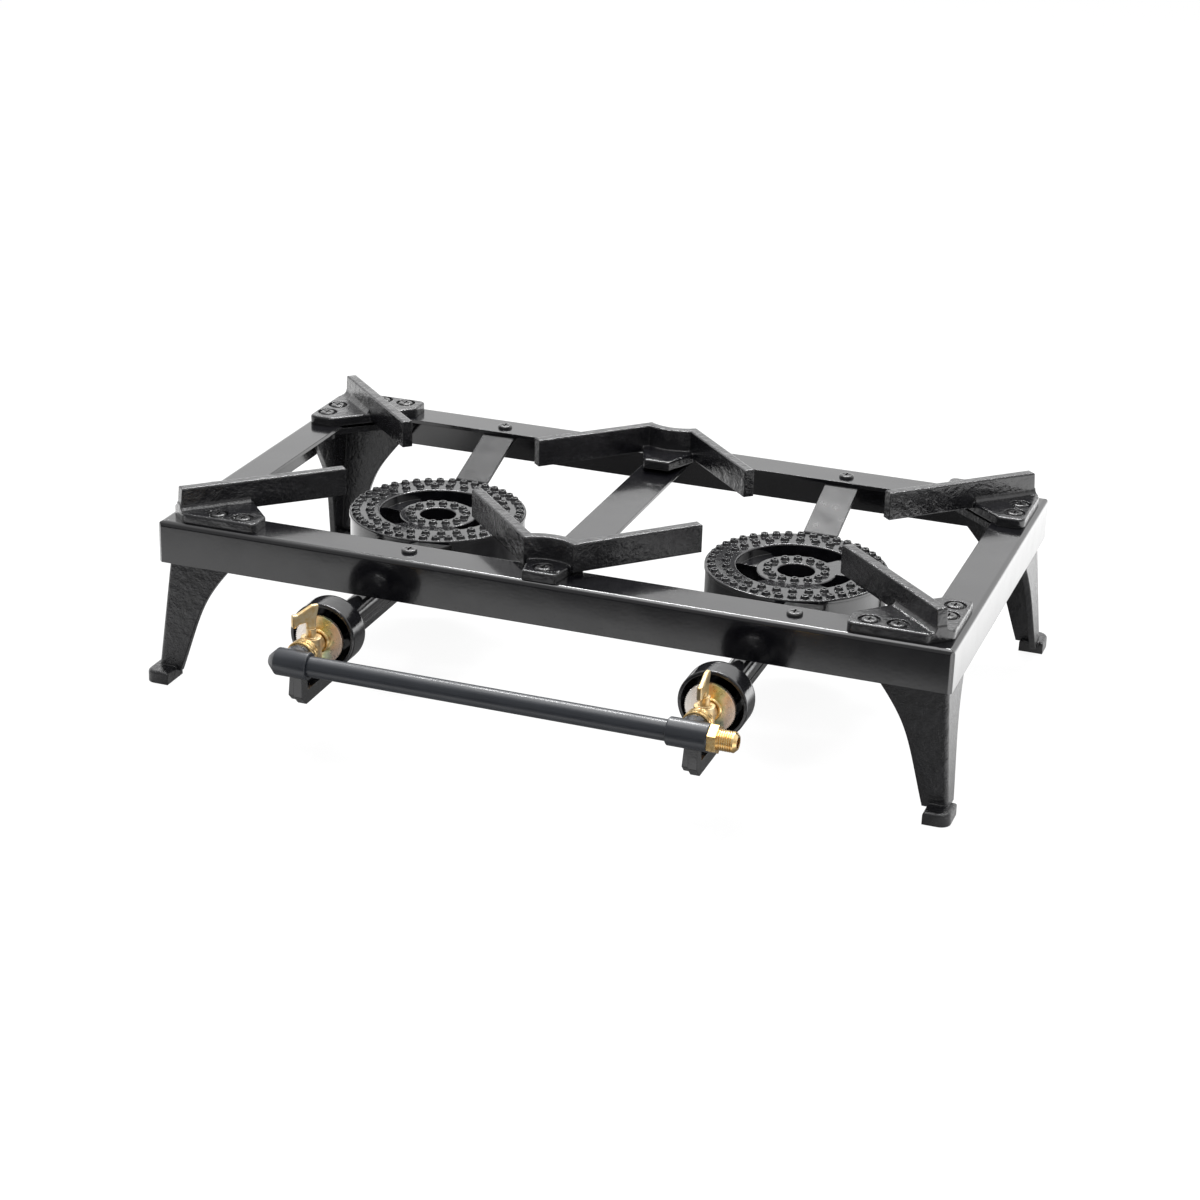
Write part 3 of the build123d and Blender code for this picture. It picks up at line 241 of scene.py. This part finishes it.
def passivated_zinc(name, centre_x):
    """Yellow passivated zinc: pale to the left, orange by the hub, green gold to the right."""
    material, shader = new_material(name, Metallic=1.0)
    nodes = material.node_tree.nodes
    split = nodes.new("ShaderNodeSeparateXYZ")
    link(material, place_of(material), split.inputs[0])
    across = nodes.new("ShaderNodeMapRange")
    across.inputs["From Min"].default_value = centre_x - TINT_REACH * MM
    across.inputs["From Max"].default_value = centre_x + TINT_REACH * MM
    link(material, split.outputs["X"], across.inputs["Value"])
    mix = nodes.new("ShaderNodeMath")
    mix.operation = "MULTIPLY_ADD"
    mix.inputs[1].default_value = ZINC_CLOUDS
    link(material, noise(material, 9 * MM, 5, 0.65), mix.inputs[0])
    link(material, across.outputs[0], mix.inputs[2])
    tints = ramp(material, mix.outputs[0], *ZINC_TINTS)
    link(material, tints, shader.inputs["Base Color"])
    wear(material, shader, 2 * MM, (0.24, 0.4))
    edges = rounded(material, 0.3 * MM)
    bump(material, shader, noise(material, 0.8 * MM, 2), 0.03 * MM, edges)
    return material


# Enamel: grain, depth, roughness, edge radius, coat. Brass: colour, then the same, uncoated.
# Paint: colour, roughness, edge radius, coat, shine.
MATERIALS = {
    "casting": enamelled_casting("cast_enamel", 2.8 * MM, 0.42 * MM, (0.1, 0.2), 1.8 * MM, 0.4),
    "burner": enamelled_casting("burner_enamel", 1.8 * MM, 0.05 * MM, (0.08, 0.18), 1.0 * MM),
    "leg": enamelled_casting("leg_enamel", 2.2 * MM, 0.5 * MM, (0.16, 0.28), 1.8 * MM, 0.1),
    "rail": gloss_paint("rail_paint", (0.004, 0.004, 0.0055), (0.13, 0.2), 0.8 * MM),
    "strap": gloss_paint("strap_paint", (0.005, 0.005, 0.006), (0.26, 0.36), 0.8 * MM, 0.0, 0.15),
    "pipe": gloss_paint("pipe_paint", (0.016, 0.019, 0.026), (0.32, 0.42), 0.8 * MM, 0.15),
    "screw": gloss_paint("blackened_steel", (0.014, 0.014, 0.015), (0.22, 0.34), 0.5 * MM),
    "cast_brass": brass(
        "cast_brass", (0.66, 0.54, 0.34), 0.6 * MM, 0.05 * MM, (0.3, 0.44), 1.2 * MM
    ),
    "turned_brass": brass(
        "turned_brass", (0.86, 0.64, 0.32), 0.3 * MM, 0.012 * MM, (0.2, 0.32), 0.3 * MM
    ),
    "left_zinc": passivated_zinc("left_passivated_zinc", VALVE_X["left"] * MM),
    "right_zinc": passivated_zinc("right_passivated_zinc", VALVE_X["right"] * MM),
}

# The first words found in a CAD node's name choose its material.
NODE_MATERIALS = (
    ("left_shutter_disc", "left_zinc"),
    ("right_shutter_disc", "right_zinc"),
    ("handle", "cast_brass"),
    ("valve_body", "cast_brass"),
    ("ring_nut", "turned_brass"),
    ("injector", "turned_brass"),
    ("hub", "turned_brass"),
    ("inlet", "turned_brass"),
    ("screws", "screw"),
    ("nuts", "screw"),
    ("manifold", "pipe"),
    ("burner_strap", "strap"),
    ("rail", "rail"),
    ("strap", "rail"),
    ("leg", "leg"),
    ("burner", "burner"),
)


def finish_node(node):
    """Give a CAD node its material."""
    kinds = [kind for words, kind in NODE_MATERIALS if words in node]
    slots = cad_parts[node].data.materials
    slots.clear()
    slots.append(MATERIALS[kinds[0] if kinds else "casting"])


# ---- pieces that take the place of plainer solids ----------------------------------
def lathe(name, start, along, profile, sides, notches=None):
    """Solid turned round an axis from `start`, in millimetres, with any notches cut in it."""
    axis = Vector(along)
    across = Vector((0, 0, 1))
    beside = axis.cross(across)
    mesh = bpy.data.meshes.new(name)
    build = bmesh.new()
    rings = []
    for place, (distance, radius) in enumerate(profile):
        ring = []
        for step in range(sides):
            turn = 2 * math.pi * step / sides
            size = radius
            if notches and 0 < place <= notches[2]:
                size -= notches[1] * max(0.0, math.cos(notches[0] * turn)) ** 3
            outward = across * math.cos(turn) + beside * math.sin(turn)
            point = Vector(start) + axis * distance + outward * size
            ring.append(build.verts.new(point * MM))
        rings.append(ring)
    for first, second in zip(rings, rings[1:] + rings[:1]):
        for step in range(sides):
            after = (step + 1) % sides
            build.faces.new((first[step], first[after], second[after], second[step]))
    bmesh.ops.recalc_face_normals(build, faces=build.faces)
    for face in build.faces:
        face.smooth = True
    build.to_mesh(mesh)
    build.free()
    mesh.set_sharp_from_angle(angle=SHARP_ANGLE)
    piece = bpy.data.objects.new(name, mesh)
    bpy.context.scene.collection.objects.link(piece)
    return piece


def join(pieces):
    """Several pieces made into the first one."""
    first = pieces[0]
    build = bmesh.new()
    for piece in pieces:
        build.from_mesh(piece.data)
    build.to_mesh(first.data)
    build.free()
    for piece in pieces[1:]:
        bpy.data.objects.remove(piece)
    first.data.set_sharp_from_angle(angle=SHARP_ANGLE)
    return first


def dress(piece, node, material):
    """Put a piece in the place of a CAD node."""
    piece.data.materials.append(material)
    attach(piece, "range")
    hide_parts(node)


def ring_nut(side):
    """Brass ring nut with turned ridges and a skirt, finely notched at its front edge."""
    place = (VALVE_X[side], NUT_Y, VALVE_Z)
    piece = lathe(
        f"{side}_ridged_nut", place, (0, 1, 0), NUT_PROFILE, NUT_SIDES, NUT_NOTCHES
    )
    dress(piece, f"{side}_valve_ring_nut", MATERIALS["turned_brass"])


def slim_yoke(side):
    """Burner whose yoke eye is drawn in close round the valve's neck."""
    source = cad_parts[f"{side}_burner"]
    piece = bpy.data.objects.new(f"{side}_burner_with_slim_yoke", source.data.copy())
    bpy.context.scene.collection.objects.link(piece)
    place = source.matrix_world
    piece.matrix_world = place
    back = place.inverted()
    front_face, rear_face = EYE_SPAN
    for vertex in piece.data.vertices:
        point = place @ vertex.co / MM
        reach = Vector((point.x - VALVE_X[side], 0, point.z - VALVE_Z))
        on_eye = EYE_R - EYE_SLACK < reach.length < EYE_R + EYE_SLACK
        if front_face < point.y < rear_face and on_eye:
            point -= reach * (1 - SLIM_EYE_R / reach.length)
            vertex.co = back @ (point * MM)
    piece.data.materials.clear()
    dress(piece, f"{side}_burner", MATERIALS["burner"])


def closed_tee():
    """Left tee with its long coned end, and the boss towards the valve."""
    centre = Vector((VALVE_X["left"], PIPE_Y, VALVE_Z))
    end = centre - Vector((TEE_END, 0, 0))
    body = lathe("coned_tee", end, (1, 0, 0), TEE_RUN, TEE_SIDES)
    stub = lathe("coned_tee_boss", centre, (0, 1, 0), TEE_BOSS, TEE_SIDES)
    dress(join([body, stub]), "left_manifold_tee", MATERIALS["pipe"])


# ---- stage -------------------------------------------------------------------------
def maths(tree, kind, first, second):
    """Sum, product or the like of two values; each is an output or a number."""
    node = tree.nodes.new("ShaderNodeMath")
    node.operation = kind
    for socket, value in zip(node.inputs, (first, second)):
        if isinstance(value, (int, float)):
            socket.default_value = value
        else:
            tree.links.new(value, socket)
    return node.outputs[0]


def spread(tree, value, edge, at_low, at_high):
    """Soft step from one value to another across an edge."""
    node = tree.nodes.new("ShaderNodeMapRange")
    node.interpolation_type = "SMOOTHSTEP"
    names = ("From Min", "From Max", "To Min", "To Max")
    for name, number in zip(names, (*edge, at_low, at_high)):
        node.inputs[name].default_value = number
    tree.links.new(value, node.inputs["Value"])
    return node.outputs[0]


def axes_of(tree, output):
    """X, Y and Z of the ground point or of the direction looked in."""
    split = tree.nodes.new("ShaderNodeSeparateXYZ")
    source = tree.nodes.new("ShaderNodeTexCoord")
    tree.links.new(source.outputs[output], split.inputs[0])
    return split.outputs["X"], split.outputs["Y"], split.outputs["Z"]


def painted_floor_glow(tree):
    """Painted light and shade of the floor in reflections: a painted glow close by and to the
    right, a painted shadow beneath.
    """
    east, north, _ = axes_of(tree, "Object")
    slanted = maths(tree, "ADD", north, maths(tree, "MULTIPLY", east, FRONT_SLANT))
    front = spread(tree, slanted, FRONT_EDGE, FLOOR_FRONT, FLOOR_NEAR)
    # Painted shadow: the floor's glow is lowered beneath the range.
    from_front = spread(tree, north, SHADOW_FRONT, 0, 1)
    to_rear = spread(tree, north, SHADOW_REAR, 1, 0)
    sideways = spread(tree, maths(tree, "ABSOLUTE", east, 0), SHADOW_SIDE, 1, 0)
    painted_shadow_mask = maths(tree, "MULTIPLY", maths(tree, "MULTIPLY", from_front, to_rear), sideways)
    lost = maths(tree, "MULTIPLY", painted_shadow_mask, FLOOR_NEAR - FLOOR_PAINTED_SHADOW)
    added = spread(tree, east, RIGHT_EDGE, 0.0, FLOOR_RIGHT)
    return maths(tree, "ADD", maths(tree, "SUBTRACT", front, lost), added)


def floor():
    """Plain white floor that keeps the range's soft shadow; in the paint it is mirrored with a
    painted glow and a painted shadow.
    """
    half = FLOOR_HALF
    mesh = bpy.data.meshes.new("floor")
    corners = [(-half, -half, 0), (half, -half, 0), (half, half, 0), (-half, half, 0)]
    mesh.from_pydata(corners, [], [(0, 1, 2, 3)])
    ground = bpy.data.objects.new("floor", mesh)
    bpy.context.scene.collection.objects.link(ground)
    material, shader = new_material("pale_floor", Base_Color=FLOOR_COLOUR, Roughness=0.7)
    tree = material.node_tree
    rays = tree.nodes.new("ShaderNodeLightPath").outputs
    by_eye, by_gloss, by_glass = (
        rays[f"Is {kind} Ray"] for kind in ("Camera", "Glossy", "Transmission")
    )
    seen = maths(tree, "MULTIPLY", by_eye, FLOOR_WHITE)
    # Glossy rays see the floor's painted glow and painted shadow.
    level = maths(tree, "ADD", seen, maths(tree, "MULTIPLY", by_gloss, painted_floor_glow(tree)))
    level = maths(tree, "ADD", level, by_glass)
    glow = tree.nodes.new("ShaderNodeEmission")
    glow.inputs["Color"].default_value = (1, 1, 1, 1)
    tree.links.new(level, glow.inputs["Strength"])
    any_seen = maths(tree, "MAXIMUM", maths(tree, "MAXIMUM", by_eye, by_gloss), by_glass)
    mix = tree.nodes.new("ShaderNodeMixShader")
    tree.links.new(maths(tree, "MULTIPLY", any_seen, FLOOR_GLOW), mix.inputs["Fac"])
    tree.links.new(shader.outputs[0], mix.inputs[1])
    tree.links.new(glow.outputs[0], mix.inputs[2])
    tree.links.new(mix.outputs[0], tree.nodes["Material Output"].inputs["Surface"])
    mesh.materials.append(material)


def softbox(name, place, aim, size, power):
    """Rectangular area lamp that looks at a point."""
    lamp = bpy.data.lights.new(name, "AREA")
    lamp.shape = "RECTANGLE"
    lamp.size, lamp.size_y = size
    lamp.energy = power
    holder = bpy.data.objects.new(name, lamp)
    holder.location = place
    holder.rotation_euler = (Vector(aim) - Vector(place)).to_track_quat("-Z", "Y").to_euler()
    bpy.context.scene.collection.objects.link(holder)


def studio():
    """White surroundings, darker before the range and brighter behind it, and soft lamps."""
    world = bpy.data.worlds.new("studio")
    world.use_nodes = True
    bpy.context.scene.world = world
    tree = world.node_tree
    rays = tree.nodes.new("ShaderNodeLightPath").outputs
    _, north, up = axes_of(tree, "Generated")
    ahead = maths(tree, "ADD", north, maths(tree, "MULTIPLY", up, WORLD_UP))
    mirrored = spread(tree, ahead, WORLD_EDGE, WORLD_FRONT, WORLD_REAR)
    white = maths(tree, "MAXIMUM", rays["Is Camera Ray"], rays["Is Transmission Ray"])
    in_gloss = maths(tree, "MULTIPLY", rays["Is Glossy Ray"], mirrored)
    level = maths(tree, "MAXIMUM", maths(tree, "MAXIMUM", white, in_gloss), WORLD_FILL)
    background = tree.nodes["Background"].inputs
    background["Color"].default_value = (1, 1, 1, 1)
    tree.links.new(level, background["Strength"])
    for lamp in LAMPS:
        softbox(*lamp)


def camera():
    """The photograph's camera."""
    east = Vector((math.cos(CAMERA_AZIMUTH), math.sin(CAMERA_AZIMUTH), 0))
    ahead = Vector((-math.sin(CAMERA_AZIMUTH), math.cos(CAMERA_AZIMUTH), 0))
    view = ahead * math.cos(CAMERA_DROP) - Vector((0, 0, math.sin(CAMERA_DROP)))
    above = east.cross(view)
    right = east * math.cos(CAMERA_ROLL) + above * math.sin(CAMERA_ROLL)
    up = above * math.cos(CAMERA_ROLL) - east * math.sin(CAMERA_ROLL)
    data = bpy.data.cameras.new("camera")
    data.lens = CAMERA_LENS
    data.sensor_width = CAMERA_SENSOR
    data.sensor_fit = "HORIZONTAL"
    data.clip_end = CAMERA_REACH
    holder = bpy.data.objects.new("camera", data)
    turn = Matrix((right, up, -view)).transposed().to_4x4()
    holder.matrix_world = Matrix.Translation(CAMERA_PLACE) @ turn
    bpy.context.scene.collection.objects.link(holder)
    bpy.context.scene.camera = holder


# ---- assembly ----------------------------------------------------------------------
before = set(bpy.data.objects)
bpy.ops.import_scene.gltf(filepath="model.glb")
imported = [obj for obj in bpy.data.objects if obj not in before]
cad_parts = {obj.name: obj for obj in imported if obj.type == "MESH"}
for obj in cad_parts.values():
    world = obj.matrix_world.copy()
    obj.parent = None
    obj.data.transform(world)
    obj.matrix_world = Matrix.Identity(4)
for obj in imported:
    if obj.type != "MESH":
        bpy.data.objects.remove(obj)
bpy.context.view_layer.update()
for node_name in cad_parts:
    finish_node(node_name)
for valve_side in SIDES:
    ring_nut(valve_side)
    slim_yoke(valve_side)
closed_tee()
floor()
studio()
camera()
bpy.context.scene.view_settings.view_transform = "Standard"
